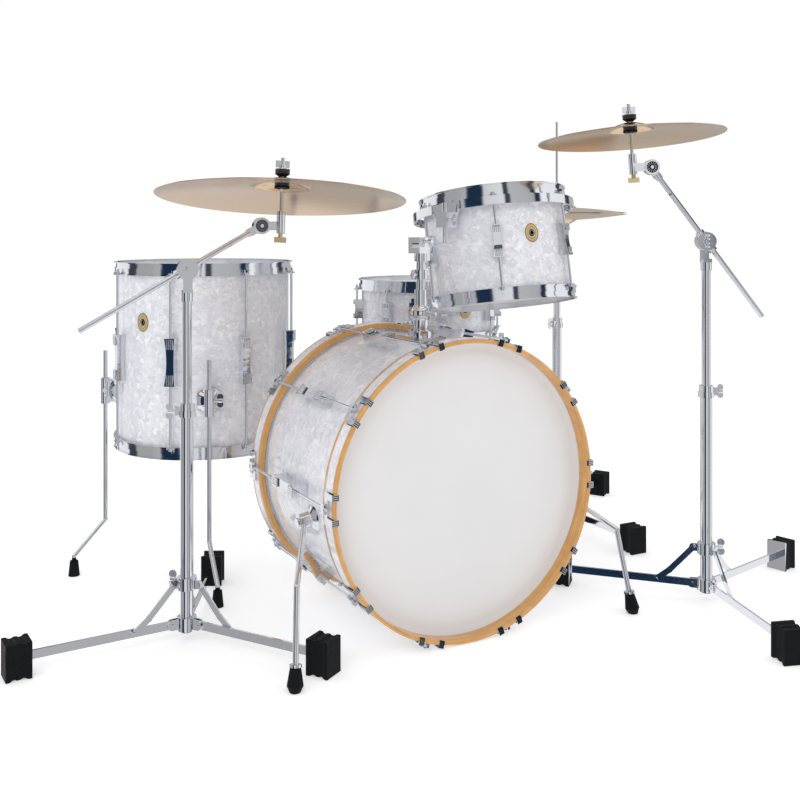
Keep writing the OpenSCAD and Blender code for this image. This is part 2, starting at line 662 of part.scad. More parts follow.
// Arm with a toothed disc at its cymbal end
module boom_arm(p, boom) color("silver") arm_frame(p, boom) {
    neck = boom[3] - knuckle_r - 1.5;
    translate([boom[3] - boom_len, 0, 0]) rotate([0, 90, 0])
        cylinder(r = boom_r, h = boom_len - boom[3] + neck);
    translate([neck - 14, 0, 0]) rotate([0, 90, 0]) cylinder(r = 8, h = 14);
    difference() {
        union() {
            translate([boom[3], -1, 0]) rotate([90, 0, 0]) cylinder(r = knuckle_r, h = 11);
            translate([neck - 8, -12, -8]) cube([knuckle_r + 9.5, 11, 16]);
        }
        translate([boom[3], 5, 0]) rotate([90, 0, 0]) cylinder(r = 4 + run, h = 30);
    }
}

// Tilter: disc and casting at the arm's end, and the post with its cups, felts and wing nut
module cymbal_tilter(p, boom, lean) color("silver") {
    tip_frame(p, boom) {
        translate([0, 11, 0]) rotate([90, 0, 0]) cylinder(r = knuckle_r, h = 12 - gap);
        translate([0, 2, 0]) rotate([90, 0, 0]) cylinder(r = 4, h = 17);
        translate([0, -gap / 2, -9]) cube([tip_out, 9, 18]);
    }
    cymbal_frame(p, boom, lean) {
        translate([0, 0, -tip_up - 15]) cylinder(r = 9, h = 44);
        translate([0, 0, -tip_up - 25]) cylinder(r = 5, h = 13);
        translate([-12, -2, -tip_up - 34]) cube([24, 4, 11]);
        translate([0, 0, -tip_up + 20]) cylinder(r = 4, h = tip_up + 22);
        translate([0, 0, -20]) cylinder(r = 13, h = 4);
        translate([0, 0, -16]) cylinder(r = 15, h = 8);
        translate([0, 0, -8]) cylinder(r1 = 12, r2 = 7, h = 6.2);
        translate([0, 0, 3]) cylinder(r1 = 8, r2 = 14, h = 5);
        translate([0, 0, 8]) cylinder(r = 15, h = 9);
        translate([0, 0, 17]) cylinder(r = 7, h = 9);
        translate([-14, -1.7, 22]) cube([28, 3.4, 14]);
    }
}

// Cymbal with its hole at the origin: a domed bell and a gently bowed body
function bow(r, bell, edge, rise, drop) = r < bell ? -rise * pow(r / bell, 2)
    : -rise - drop * pow((r - bell) / (edge - bell), 1.35);

module cymbal(d, bell, rise, drop, t = 1.2, steps = 12) {
    edge = d / 2;
    rs = concat([7, bell * 0.35, bell * 0.6, bell * 0.82],
                [for (i = [0 : steps]) bell + (edge - bell) * i / steps]);
    rotate_extrude($fn = 128) polygon(concat(
        [for (r = rs) [r, bow(r, bell, edge, rise, drop)]],
        [for (i = [len(rs) - 1 : -1 : 0]) [rs[i], bow(rs[i], bell, edge, rise, drop) + t]]));
}

module ride_upper_tube() upper_tube(ride_stand_at, ride_boom);
module ride_boom_tilter() boom_tilter(ride_stand_at, ride_boom);
module ride_boom_arm() boom_arm(ride_stand_at, ride_boom);
module ride_tilter() cymbal_tilter(ride_stand_at, ride_boom, ride_lean);
module ride_cymbal() color("goldenrod") cymbal_frame(ride_stand_at, ride_boom, ride_lean)
    cymbal(ride_d, 62, 19, 24);
module crash_upper_tube() upper_tube(crash_stand_at, crash_boom);
module crash_boom_tilter() boom_tilter(crash_stand_at, crash_boom);
module crash_boom_arm() boom_arm(crash_stand_at, crash_boom);
module crash_tilter() cymbal_tilter(crash_stand_at, crash_boom, crash_lean);
module crash_cymbal() color("goldenrod") cymbal_frame(crash_stand_at, crash_boom, crash_lean)
    cymbal(crash_d, 52, 16, 19);

// ---------- Hi-hat ----------

hat_z = 850;                                         // plane of the bottom cymbal's edge
hat_gap = 3;
hat_bell = 56;
hat_rise = 20;
hat_drop = 14;
hat_seat = hat_z - hat_rise - hat_drop;
hat_top = hat_z + hat_gap + hat_rise + hat_drop;
rod_top = 1108;
pedal_y = 263;                                       // the footboard's heel pin from the stand's axis
pedal_rise = 9;

// Seat tube, with the cup and felt under the bottom cymbal
module hihat_upper_tube() color("silver") at(hihat_at) {
    translate([0, 0, 300]) ring(6.5, upper_tube_r, hat_seat - 320);
    translate([0, 0, hat_seat - 24]) ring(6.5, 18, 14);
    translate([0, 0, hat_seat - 10.5]) ring(6.5, 14, 8.5);
}

module hihat_bottom_cymbal() color("goldenrod") at([hihat_at.x, hihat_at.y, hat_seat])
    mirror([0, 0, 1]) cymbal(hihat_d, hat_bell, hat_rise, hat_drop);
module hihat_top_cymbal() color("goldenrod") at([hihat_at.x, hihat_at.y, hat_top])
    cymbal(hihat_d, hat_bell, hat_rise, hat_drop);

// Pull rod with the clutch that carries the top cymbal
module hihat_rod() color("silver") at(hihat_at) {
    translate([0, 0, 100]) cylinder(r = 3.2, h = hat_top - 112);
    translate([0, 0, hat_top - 5]) cylinder(r = 3.5, h = rod_top - hat_top + 5);
    translate([0, 0, hat_top - 14]) cylinder(r = 12, h = 6);
    translate([0, 0, hat_top - 9]) cylinder(r = 5.5, h = 30);
    translate([0, 0, hat_top + 4]) cylinder(r = 15, h = 9);
    translate([0, 0, hat_top + 12]) cylinder(r = 9, h = 28);
    translate([7, 0, hat_top + 30]) wing_screw(6, 8);
}

// Heel plate and frame rods that join the pedal to the stand
module hihat_frame() difference() {
    union() {
        translate([-45, pedal_y - 8, 0]) cube([90, 56, 5]);
        for (s = [-1, 1]) {
            translate([s * 36 - 4, pedal_y - 8, 4]) cube([8, 16, 22]);
            rod([s * 36, pedal_y - 2, 9], [s * 14, 10, 24], 3.5);
        }
    }
    translate([-50, pedal_y, 16]) rotate([0, 90, 0]) cylinder(r = 4 + run, h = 100);
}

module hihat_footboard() color("silver") at(hihat_at) translate([0, pedal_y, 16]) {
    translate([-40, 0, 0]) rotate([0, 90, 0]) cylinder(r = 4, h = 80);
    rotate([-pedal_rise, 0, 0]) translate([-30, -236, -2]) cube([60, 236, 5]);
}

bass_shell();
bass_heads();
bass_hoops();
bass_lugs();
bass_claws();
tension_rods();
tom_mount_base();
left_spur();
right_spur();
floor_tom_shell();
floor_tom_heads();
floor_tom_hoops();
floor_tom_lugs();
leg_brackets();
floor_leg_1();
floor_leg_2();
floor_leg_3();
tom_post();
tom_arm();
tom_shell();
tom_heads();
tom_hoops();
tom_lugs();
tom_rods();
tom_suspension_ring();
snare_shell();
snare_heads();
snare_hoops();
snare_lugs();
snare_rods();
snare_strainer();
strainer_lever();
snare_wires();
snare_post();
snare_basket();
stand_bases();
tripod_legs();
tripod_feet();
ride_upper_tube();
ride_boom_tilter();
ride_boom_arm();
ride_tilter();
ride_cymbal();
crash_upper_tube();
crash_boom_tilter();
crash_boom_arm();
crash_tilter();
crash_cymbal();
crash_collar();
crash_leg_1();
crash_leg_2();
crash_leg_3();
crash_strut_1();
crash_strut_2();
crash_strut_3();
hihat_upper_tube();
hihat_bottom_cymbal();
hihat_rod();
hihat_top_cymbal();
hihat_footboard();
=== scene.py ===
import math

import bmesh
import bpy
from mathutils import Matrix, Vector


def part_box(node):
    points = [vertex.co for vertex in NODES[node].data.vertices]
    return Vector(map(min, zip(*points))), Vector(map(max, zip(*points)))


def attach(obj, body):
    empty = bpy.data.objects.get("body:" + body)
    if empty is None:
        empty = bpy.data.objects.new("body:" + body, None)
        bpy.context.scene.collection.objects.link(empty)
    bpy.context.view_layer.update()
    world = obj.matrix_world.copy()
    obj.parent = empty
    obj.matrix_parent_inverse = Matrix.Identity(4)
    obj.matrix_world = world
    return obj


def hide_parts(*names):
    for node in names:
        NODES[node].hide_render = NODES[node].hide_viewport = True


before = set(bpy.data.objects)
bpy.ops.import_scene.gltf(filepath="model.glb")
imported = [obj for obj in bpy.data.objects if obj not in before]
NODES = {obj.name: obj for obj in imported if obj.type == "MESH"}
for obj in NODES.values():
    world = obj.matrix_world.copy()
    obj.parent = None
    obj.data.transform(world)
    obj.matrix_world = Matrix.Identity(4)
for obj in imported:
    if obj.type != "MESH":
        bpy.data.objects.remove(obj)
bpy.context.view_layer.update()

MM = 0.001


# ---------- placing ----------

def middle(node):
    """Middle of a CAD node's box."""
    lo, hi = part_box(node)
    return (lo + hi) / 2


def turned(origin, *turns):
    """Matrix at origin after turns about named axes, in degrees, outermost first."""
    place = Matrix.Translation(origin)
    for axis, angle in turns:
        place = place @ Matrix.Rotation(math.radians(angle), 4, axis)
    return place


def leaning(lean):
    """A cymbal post's lean: (its boom's plan angle, x, y), as the CAD turns it."""
    return (("Z", lean[0]), ("Y", lean[2]), ("X", lean[1]))


# ---------- shader nodes ----------

def node(tree, kind, props=None, **inputs):
    """A shader node; an input named i0, i1 ... is taken by place."""
    made = tree.nodes.new(kind)
    for key, value in (props or {}).items():
        setattr(made, key, value)
    for key, value in inputs.items():
        socket = made.inputs[int(key[1:]) if key[1:].isdigit() else key.replace("_", " ")]
        if isinstance(value, bpy.types.NodeSocket):
            tree.links.new(value, socket)
        else:
            socket.default_value = value
    return made


def ramp(tree, factor, *stops):
    """Colour ramp from (place, grey or colour) stops."""
    made = node(tree, "ShaderNodeValToRGB", Fac=factor)
    elements = made.color_ramp.elements
    while len(elements) < len(stops):
        elements.new(0.5)
    for element, (place, value) in zip(elements, stops):
        element.position = place
        element.color = (*value, 1) if isinstance(value, tuple) else (value, value, value, 1)
    return made.outputs["Color"]


def math_node(tree, operation, *values):
    return node(tree, "ShaderNodeMath", {"operation": operation},
                **{f"i{i}": v for i, v in enumerate(values)}).outputs[0]


def shader(name, colour, metallic=0.0, rough=0.4, **sockets):
    """A material with its Principled shader's own sockets set."""
    made = bpy.data.materials.new(name)
    made.use_nodes = True
    made.diffuse_color = (*colour, 1)
    tree = made.node_tree
    principled = tree.nodes["Principled BSDF"]
    values = {"Base Color": (*colour, 1), "Metallic": metallic, "Roughness": rough}
    values.update({key.replace("_", " "): value for key, value in sockets.items()})
    for key, value in values.items():
        principled.inputs[key].default_value = value
    return made, tree, principled


def coords(tree, scale=1.0, output="Object"):
    """Texture coordinates, in metres times scale."""
    raw = node(tree, "ShaderNodeTexCoord").outputs[output]
    if scale == 1.0:
        return raw
    factor = scale if isinstance(scale, tuple) else (scale,) * 3
    return node(tree, "ShaderNodeMapping", Vector=raw, Scale=factor).outputs[0]


def noise(tree, vector, scale, detail=3.0, rough=0.5, distort=0.0, output="Fac"):
    return node(tree, "ShaderNodeTexNoise", Vector=vector, Scale=scale, Detail=detail,
                Roughness=rough, Distortion=distort).outputs[output]


def bump(tree, principled, height, strength, distance):
    made = node(tree, "ShaderNodeBump", Height=height, Strength=strength, Distance=distance)
    tree.links.new(made.outputs[0], principled.inputs["Normal"])


def mix(tree, factor, a, b, blend="MIX"):
    made = node(tree, "ShaderNodeMix", {"data_type": "RGBA", "blend_type": blend}, i0=factor)
    for index, value in ((6, a), (7, b)):
        if isinstance(value, bpy.types.NodeSocket):
            tree.links.new(value, made.inputs[index])
        else:
            made.inputs[index].default_value = (*value, 1)
    return made.outputs[2]


# ---------- materials ----------

def pearl_wrap():
    """White marine pearl: overlapping nacre flakes under a clear gloss."""
    made, tree, principled = shader("pearl_wrap", (0.72, 0.72, 0.75), 0.0, 0.3,
                                    Coat_Weight=0.8, Coat_Roughness=0.04, Specular_IOR_Level=0.5)
    place = coords(tree)
    wander = noise(tree, place, 40.0, 4.0, 0.6, 0.0, "Color")
    bent = node(tree, "ShaderNodeVectorMath", {"operation": "MULTIPLY_ADD"},
                i0=wander, i1=(0.030, 0.030, 0.030), i2=place).outputs[0]
    big = node(tree, "ShaderNodeTexVoronoi", Vector=bent, Scale=105.0, Randomness=1.0)
    small = node(tree, "ShaderNodeTexVoronoi", Vector=bent, Scale=290.0, Randomness=1.0)
    shift = node(tree, "ShaderNodeVectorMath", {"operation": "MULTIPLY_ADD"},
                 i0=big.outputs["Color"], i1=(9.0, 9.0, 9.0), i2=bent).outputs[0]
    silk = node(tree, "ShaderNodeMapping", Vector=shift, Rotation=(0.5, 0.3, 0.9),
                Scale=(30.0, 90.0, 240.0)).outputs[0]
    streaks = noise(tree, silk, 1.0, 3.0, 0.65)
    tone_a = node(tree, "ShaderNodeSeparateColor", Color=big.outputs["Color"]).outputs[0]
    tone_b = node(tree, "ShaderNodeSeparateColor", Color=small.outputs["Color"]).outputs[1]
    base = ramp(tree, tone_a, (0.0, (0.68, 0.68, 0.735)), (0.5, (0.76, 0.76, 0.815)),
                (0.85, (0.82, 0.82, 0.865)), (1.0, (0.92, 0.92, 0.94)))
    fleck = ramp(tree, tone_b, (0.0, 0.0), (0.80, 0.05), (0.87, 0.8), (1.0, 1.0))
    drift = noise(tree, place, 22.0, 3.0, 0.6)
    patch = math_node(tree, "MULTIPLY", fleck, ramp(tree, drift, (0.42, 0.15), (0.62, 1.0)))
    colour = mix(tree, patch, base, (0.97, 0.97, 0.96))
    colour = mix(tree, 0.45, colour, ramp(tree, streaks, (0.3, 0.90), (0.7, 1.08)), "MULTIPLY")
    tree.links.new(colour, principled.inputs["Base Color"])
    tree.links.new(ramp(tree, tone_b, (0.0, 0.5), (1.0, 0.25)), principled.inputs["Roughness"])
    tilt = node(tree, "ShaderNodeVectorMath", {"operation": "MULTIPLY_ADD"},
                i0=big.outputs["Color"], i1=(0.10,) * 3, i2=(-0.05,) * 3).outputs[0]
    flat = node(tree, "ShaderNodeNewGeometry").outputs["Normal"]
    facing = node(tree, "ShaderNodeVectorMath", {"operation": "ADD"}, i0=flat, i1=tilt).outputs[0]
    facing = node(tree, "ShaderNodeVectorMath", {"operation": "NORMALIZE"}, i0=facing).outputs[0]
    tree.links.new(facing, principled.inputs["Normal"])
    return made


def drum_head():
    """Coated white film with a fine tooth and faint clouding."""
    made, tree, principled = shader("drum_head", (0.74, 0.73, 0.73), 0.0, 0.42,
                                    Coat_Weight=0.25, Coat_Roughness=0.25)
    place = coords(tree)
    cloud = noise(tree, place, 5.0, 4.0, 0.6)
    tooth = noise(tree, place, 900.0, 3.0, 0.7)
    colour = mix(tree, cloud, (0.71, 0.70, 0.70), (0.78, 0.77, 0.765))
    tree.links.new(colour, principled.inputs["Base Color"])
    tree.links.new(ramp(tree, cloud, (0.3, 0.36), (0.7, 0.50)), principled.inputs["Roughness"])
    bump(tree, principled, tooth, 0.12, 0.0004)
    return made


def maple():
    """Honey-stained maple veneer, its grain running along U."""
    made, tree, principled = shader("maple", (0.75, 0.40, 0.13), 0.0, 0.32,
                                    Coat_Weight=0.9, Coat_Roughness=0.08)
    grain_at = coords(tree, (7.0, 260.0, 1.0), "UV")
    figure_at = coords(tree, (22.0, 14.0, 1.0), "UV")
    grain = noise(tree, grain_at, 1.0, 6.0, 0.65, 0.6)
    figure = noise(tree, figure_at, 1.0, 3.0, 0.5, 1.5)
    pores = noise(tree, coords(tree, (60.0, 1500.0, 1.0), "UV"), 1.0, 2.0, 0.6)
    colour = ramp(tree, grain, (0.25, (0.50, 0.235, 0.062)), (0.5, (0.66, 0.335, 0.095)),
                  (0.78, (0.79, 0.45, 0.155)))
    colour = mix(tree, 0.55, colour, ramp(tree, figure, (0.3, 0.78), (0.7, 1.12)), "MULTIPLY")
    colour = mix(tree, 0.5, colour, ramp(tree, pores, (0.28, 0.62), (0.42, 1.0)), "MULTIPLY")
    tree.links.new(colour, principled.inputs["Base Color"])
    tree.links.new(ramp(tree, grain, (0.2, 0.42), (0.8, 0.28)), principled.inputs["Roughness"])
    bump(tree, principled, grain, 0.10, 0.0005)
    return made


def chrome(name="chrome", colour=(0.78, 0.80, 0.84), rough=(0.04, 0.12), wave=0.035):
    """Plated metal: faint casting waves, polish haze and a few fine scratches."""
    made, tree, principled = shader(name, colour, 1.0, rough[0])
    place = coords(tree)
    waves = noise(tree, place, 20.0, 2.0, 0.4)
    haze = noise(tree, place, 240.0, 4.0, 0.6)
    scratch = noise(tree, coords(tree, (2500.0, 2500.0, 90.0)), 1.0, 2.0, 0.5)
    polish = ramp(tree, haze, (0.35, rough[0]), (0.72, rough[1]))
    tree.links.new(polish, principled.inputs["Roughness"])
    tint = mix(tree, haze, tuple(c * 0.94 for c in colour),
               tuple(min(c * 1.06, 1) for c in colour))
    tree.links.new(tint, principled.inputs["Base Color"])
    height = math_node(tree, "MULTIPLY_ADD", scratch, 0.02, waves)
    bump(tree, principled, height, wave, 0.002)
    return made


def bronze():
    """Lathed cymbal bronze: fine rings round the post, hammer marks and a brushed sheen."""
    made, tree, principled = shader("bronze", (0.70, 0.50, 0.29), 1.0, 0.18, Anisotropic=0.4)
    across = node(tree, "ShaderNodeSeparateXYZ", Vector=coords(tree, 1.0, "UV")).outputs[1]
    line = node(tree, "ShaderNodeCombineXYZ", X=across).outputs[0]
    fine = noise(tree, line, 1400.0, 3.0, 0.7)
    broad = noise(tree, line, 95.0, 3.0, 0.6)
    hammer = node(tree, "ShaderNodeTexVoronoi", {"feature": "SMOOTH_F1"}, Vector=coords(tree),
                  Scale=55.0, Randomness=0.8).outputs["Distance"]
    patina = noise(tree, coords(tree), 11.0, 4.0, 0.6)
    colour = mix(tree, broad, (0.74, 0.54, 0.36), (0.81, 0.62, 0.43))
    colour = mix(tree, 0.35, colour, ramp(tree, fine, (0.3, 0.86), (0.7, 1.06)), "MULTIPLY")
    aged = ramp(tree, patina, (0.3, (0.97, 0.93, 0.90)), (0.7, 1.03))
    colour = mix(tree, 0.4, colour, aged, "MULTIPLY")
    tree.links.new(colour, principled.inputs["Base Color"])
    tree.links.new(ramp(tree, broad, (0.25, 0.13), (0.75, 0.21)), principled.inputs["Roughness"])
    height = math_node(tree, "MULTIPLY_ADD", fine, 0.35, hammer)
    bump(tree, principled, height, 0.06, 0.0006)
    tangent = node(tree, "ShaderNodeTangent", {"direction_type": "RADIAL", "axis": "Z"}).outputs[0]
    tree.links.new(tangent, principled.inputs["Tangent"])
    return made


def rubber():
    """Moulded black rubber with a dusty, slightly pitted skin."""
    made, tree, principled = shader("rubber", (0.006, 0.0065, 0.008), 0.0, 0.6,
                                    Specular_IOR_Level=0.08)
    place = coords(tree)
    dust = noise(tree, place, 60.0, 5.0, 0.65)
    pits = noise(tree, place, 700.0, 3.0, 0.7)
    tree.links.new(mix(tree, dust, (0.0035, 0.004, 0.005), (0.013, 0.0135, 0.015)),
                   principled.inputs["Base Color"])
    tree.links.new(ramp(tree, dust, (0.3, 0.42), (0.7, 0.66)), principled.inputs["Roughness"])
    bump(tree, principled, pits, 0.25, 0.0005)
    return made


def felt():
    """Black pressed felt."""
    made, tree, principled = shader("felt", (0.02, 0.02, 0.021), 0.0, 0.95, Sheen_Weight=0.5,
                                    Sheen_Roughness=0.4)
    fibres = noise(tree, coords(tree, (1.0, 1.0, 2.2)), 750.0, 5.0, 0.75)
    tree.links.new(mix(tree, fibres, (0.008, 0.008, 0.009), (0.045, 0.045, 0.048)),
                   principled.inputs["Base Color"])
    bump(tree, principled, fibres, 0.6, 0.0012)
    return made


def badge_metal(name, light, dark, rough):
    """Stamped brass plate with a brushed face."""
    made, tree, principled = shader(name, light, 0.55, rough)
    place = coords(tree)
    brush = noise(tree, coords(tree, (300.0, 300.0, 2400.0)), 1.0, 3.0, 0.6)
    age = noise(tree, place, 160.0, 3.0, 0.6)
    colour = mix(tree, ramp(tree, age, (0.35, 0.0), (0.75, 1.0)), light, dark)
    tree.links.new(colour, principled.inputs["Base Color"])
    bump(tree, principled, brush, 0.15, 0.0003)
    return made


PEARL = pearl_wrap()
HEAD = drum_head()
MAPLE = maple()
CHROME = chrome()
SATIN = chrome("satin_chrome", (0.62, 0.63, 0.66), (0.16, 0.30), 0.15)
BRASS = chrome("brass", (0.74, 0.62, 0.34), (0.10, 0.22), 0.12)
WIRE = chrome("steel_wire", (0.55, 0.56, 0.58), (0.2, 0.36), 0.2)
BRONZE = bronze()
RUBBER = rubber()
FELT = felt()
BADGE_FIELD = badge_metal("badge_field", (0.80, 0.66, 0.40), (0.62, 0.48, 0.25), 0.36)
BADGE_RIM = badge_metal("badge_rim", (0.52, 0.36, 0.14), (0.36, 0.24, 0.09), 0.3)


# ---------- meshes ----------

def finish_mesh(bm, name, sharp=35):
    """Mesh from bm, smooth but for edges sharper than an angle in degrees."""
    mesh = bpy.data.meshes.new(name)
    bmesh.ops.recalc_face_normals(bm, faces=bm.faces)
    bm.to_mesh(mesh)
    bm.free()
    mesh.shade_smooth()
    mesh.set_sharp_from_angle(angle=math.radians(sharp))
    return mesh


def piece(name, mesh, body, mats, place=None, replaces=()):
    """A visible piece on a CAD body."""
    made = bpy.data.objects.new(name, mesh)
    bpy.context.scene.collection.objects.link(made)
    for material in mats:
        mesh.materials.append(material)
    made.matrix_world = place or Matrix.Identity(4)
    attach(made, body)
    if replaces:
        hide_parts(*replaces)
    return made


def turn_profile(bm, profile, picks=None, segments=96, place=None, closed=False):
    """Adds a turned form to bm; profile is (radius, z) in mm, picks the material of each span."""
    uv = bm.loops.layers.uv.verify()
    place = place or Matrix.Identity(4)
    rings = []
    for radius, z in profile:
        count = 1 if radius < 1e-6 else segments  # a point on the axis is one vertex
        rings.append([bm.verts.new(place @ Vector((
            radius * MM * math.cos(2 * math.pi * i / segments),
            radius * MM * math.sin(2 * math.pi * i / segments), z * MM))) for i in range(count)])
    along = 0.0
    mean = max(r for r, _ in profile) * MM
    spans = list(range(len(profile) - 1)) + ([len(profile) - 1] if closed else [])
    for k in spans:
        a, b = rings[k], rings[(k + 1) % len(rings)]
        (r0, z0), (r1, z1) = profile[k], profile[(k + 1) % len(profile)]
        step = math.hypot(r1 - r0, z1 - z0) * MM
        for i in range(segments):
            j = (i + 1) % segments
            corners = [(a, i, 0, i), (a, j, 0, i + 1), (b, j, 1, i + 1), (b, i, 1, i)]
            verts, places = [], []
            for ring, index, side, turn in corners:
                vert = ring[index % len(ring)]
                if vert not in verts:
                    verts.append(vert)
                    places.append((turn / segments * 2 * math.pi * mean, along + side * step))
            if len(verts) < 3:
                continue
            face = bm.faces.new(verts)
            face.material_index = picks[k] if picks else 0
            for loop, where in zip(face.loops, places):
                loop[uv].uv = where
        along += step


def block(bm, low, high, place=None, bevel=0.0, pick=0):
    """Adds a box with rounded edges between two corners, in mm."""
    low, high = Vector(low), Vector(high)
    verts = bmesh.ops.create_cube(bm, size=1.0)["verts"]
    for vert in verts:
        for k in range(3):
            vert.co[k] = (low[k] + (vert.co[k] + 0.5) * (high[k] - low[k])) * MM
    faces = {f for v in verts for f in v.link_faces}
    if bevel:
        edges = {e for v in verts for e in v.link_edges}
        done = bmesh.ops.bevel(bm, geom=list(edges), offset=bevel * MM, segments=2, profile=0.7,
                               affect="EDGES")
        faces = set(done["faces"]) | {f for f in faces if f.is_valid}
        faces |= {f for v in done["verts"] for f in v.link_faces}
    verts = {v for f in faces for v in f.verts}
    for face in faces:
        face.material_index = pick
    if place:
        for vert in verts:
            vert.co = place @ vert.co


# ---------- drums ----------

# r and depth in mm; lugs are (count, first angle, length), badge is (angle, height)
BASS = {"body": "kit", "r": 279.5, "depth": 356.0,
        "place": turned(middle("bass_shell"), ("X", 90))}
FLOOR = {"body": "kit", "r": 203.2, "depth": 406.4, "place": turned(middle("floor_tom_shell")),
         "lugs": (8, 232.5, 106.0), "badge": (210, 85)}
TOM = {"body": "tom", "r": 165.1, "depth": 228.6, "lugs": (6, 237, 72.0), "badge": (265, 15),
       "place": turned(middle("tom_shell"), ("Z", 94), ("Y", 9.6), ("Z", -94))}
SNARE = {"body": "snare", "r": 177.8, "depth": 127.0, "place": turned(middle("snare_shell")),
         "lugs": (8, 207, 48.0), "badge": (272, 6)}


def on_shell(drum, angle, z):
    """Frame on a drum's shell: X out, Y round the shell, Z along the axis."""
    out = Matrix.Translation((drum["r"] * MM, 0, 0))
    return drum["place"] @ turned((0, 0, z * MM), ("Z", angle)) @ out


def badge(name, drum):
    """Oval plate bent to the shell, with a raised rim and a grommet round the vent."""
    angle, z = drum["badge"]
    across, tall = 17.0, 21.5
    rings = [(0.36, 0.5, 1), (0.40, 0.9, 1), (0.44, 0.5, 0), (0.60, 0.55, 0), (0.63, 0.8, 1),
             (0.67, 0.8, 1), (0.70, 0.55, 0), (0.86, 0.55, 0), (0.89, 1.0, 1), (0.97, 1.0, 1),
             (1.0, 0.6, 1), (1.0, -0.3, 1)]
    segments = 64
    bm = bmesh.new()
    loops = []
    for scale, height, _ in rings:
        row = []
        for i in range(segments):
            turn = 2 * math.pi * i / segments
            y, up = across * scale * math.cos(turn), tall * scale * math.sin(turn)
            bent = y / drum["r"]
            out = drum["r"] + height
            at = Vector((out * math.cos(bent), out * math.sin(bent), z + up))
            row.append(bm.verts.new(at * MM))
        loops.append(row)
    for k in range(len(rings) - 1):
        for i in range(segments):
            j = (i + 1) % segments
            face = bm.faces.new((loops[k][i], loops[k][j], loops[k + 1][j], loops[k + 1][i]))
            face.material_index = rings[k + 1][2]
    place = drum["place"] @ turned((0, 0, 0), ("Z", angle))
    piece(name, finish_mesh(bm, name), drum["body"], [BADGE_FIELD, BADGE_RIM], place)


def grommet(name, drum, angle, z):
    """Vent grommet: a rolled black ring with a bright inner lip."""
    bm = bmesh.new()
    turn_profile(bm, [(4.2, -5), (4.2, 0.6), (4.6, 1.4), (5.4, 1.7), (6.6, 1.6), (7.2, 1.0),
                      (7.3, -0.3)], [0, 0, 0, 1, 1, 1], 40)
    place = on_shell(drum, angle, z) @ turned((0, 0, 0), ("Y", 90))
    piece(name, finish_mesh(bm, name), drum["body"], [CHROME, RUBBER], place)


def lug_ribs(name, drum, lugs, reach):
    """Raised ribs along both ends of every lug's face, and the slot between them."""
    count, first, length = lugs
    bm = bmesh.new()
    for i in range(count):
        spot = on_shell(drum, first + 360 * i / count, 0)
        for end in (-1, 1):
            lo, hi = sorted((end * length * 0.27, end * (length * 0.5 - 2.0)))
            for y in (-6.6, -2.2, 2.2, 6.6):
                block(bm, (reach - 2.4, y - 1.1, lo), (reach + 0.45, y + 1.1, hi), spot, 0.5)
            block(bm, (reach - 2.4, -8.4, lo - 0.4), (reach - 0.35, 8.4, hi + 0.4), spot, 0.3, 1)
    piece(name, finish_mesh(bm, name), drum["body"], [CHROME, SATIN])


def collar_ring(name, drum):
    """The head's crimped collar inside each hoop, and the aluminium flesh hoop round it."""
    bm = bmesh.new()
    r, z = drum["r"], drum["depth"] / 2 + 0.8
    rise = 1.1
    profile = [(r - 7, z - 0.4), (r - 5, z + 0.15), (r - 3, z + rise), (r - 1.2, z + rise + 0.2),
               (r + 0.4, z + rise), (r + 1.9, z + 0.1), (r + 1.9, z - 0.5)]
    for side in (1, -1):
        turn_profile(bm, [(a, side * b) for a, b in profile], [0, 0, 0, 0, 1, 1], 128)
    piece(name, finish_mesh(bm, name), drum["body"], [HEAD, SATIN], drum["place"])


SEAT = 285.0  # inner radius of the bass drum's hoops where they lap the shell, in mm


def bass_hoops():
    """Wooden hoops: honey maple with a pearl inlay between two dark grooves."""
    bm = bmesh.new()
    outer, inner = 297.0, 288.5
    edge = BASS["depth"] / 2
    near = edge - 12
    face = near + 46
    lines = [near, near + 9.0, near + 9.8, face - 7.4, face - 6.6, face]
    groove = outer - 0.45
    profile = [(SEAT, near), (outer - 1.5, near), (outer - 0.4, near + 0.5), (outer, near + 1.6),
               (outer, lines[1]), (groove, lines[1] + 0.3), (groove, lines[2] - 0.1),
               (outer - 0.05, lines[2]), (outer - 0.05, lines[3]), (groove, lines[3] + 0.1),
               (groove, lines[4] - 0.3), (outer, lines[4]), (outer, face - 2.0),
               (outer - 0.6, face - 0.6), (outer - 2.0, face), (inner + 2.0, face),
               (inner + 0.6, face - 0.6), (inner, face - 2.0), (inner, edge + 1.2),
               (SEAT, edge + 1.2)]
    picks = [0] * len(profile)
    picks[7] = 1
    for k in (5, 9):
        picks[k] = 2
    for side in (1, -1):
        turn_profile(bm, [(a, side * b) for a, b in profile], picks, 160, closed=True)
    mesh = finish_mesh(bm, "bass_hoops_turned", 28)
    piece("bass_hoops_turned", mesh, "kit", [MAPLE, PEARL, RUBBER], BASS["place"],
          ["bass_hoops"])


def bass_collars():
    """The rim of each bass drum head, where the film bends up inside its hoop."""
    bm = bmesh.new()
    for side in (1, -1):
        turn_profile(bm, [(a, side * b) for a, b in (
            (274.0, 178.9), (279.5, 179.3), (283.0, 180.2), (286.0, 181.8), (288.9, 182.6),
            (288.9, 180.6), (274.0, 178.3))], None, 160, closed=True)
    mesh = finish_mesh(bm, "bass_collars")
    piece("bass_collars", mesh, "kit", [HEAD], BASS["place"])


